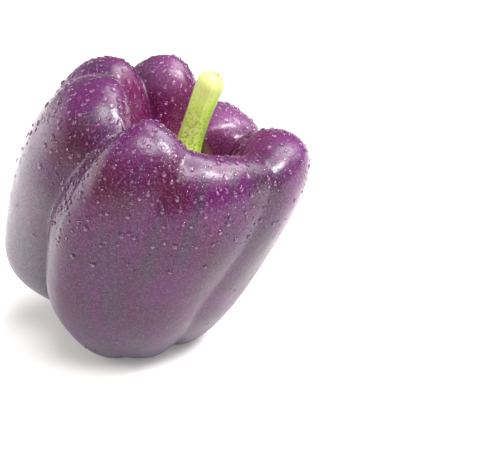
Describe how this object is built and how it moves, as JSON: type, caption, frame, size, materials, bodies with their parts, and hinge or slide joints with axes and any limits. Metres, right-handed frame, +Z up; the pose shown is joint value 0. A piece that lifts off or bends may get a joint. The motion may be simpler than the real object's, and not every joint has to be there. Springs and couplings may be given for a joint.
{
  "type": "bell pepper",
  "caption": "Blocky purple bell pepper with a deep stem well and a short cut green stalk, standing on its feet.",
  "frame": {"origin": "middle of the pepper's box, at the level of the table it stands on", "axes": "+Z up from the table to the stalk; -Y is the broad front with the two merged lobes; the stalk leans towards +X"},
  "size_m": [0.099, 0.0898, 0.0939],
  "materials": {
    "skin": "waxy gloss",
    "stem": "satin",
    "water": "clear drops"
  },
  "bodies": {
    "root": {"fruit": "skin", "stem": "stem"}
  },
  "joints": []
}
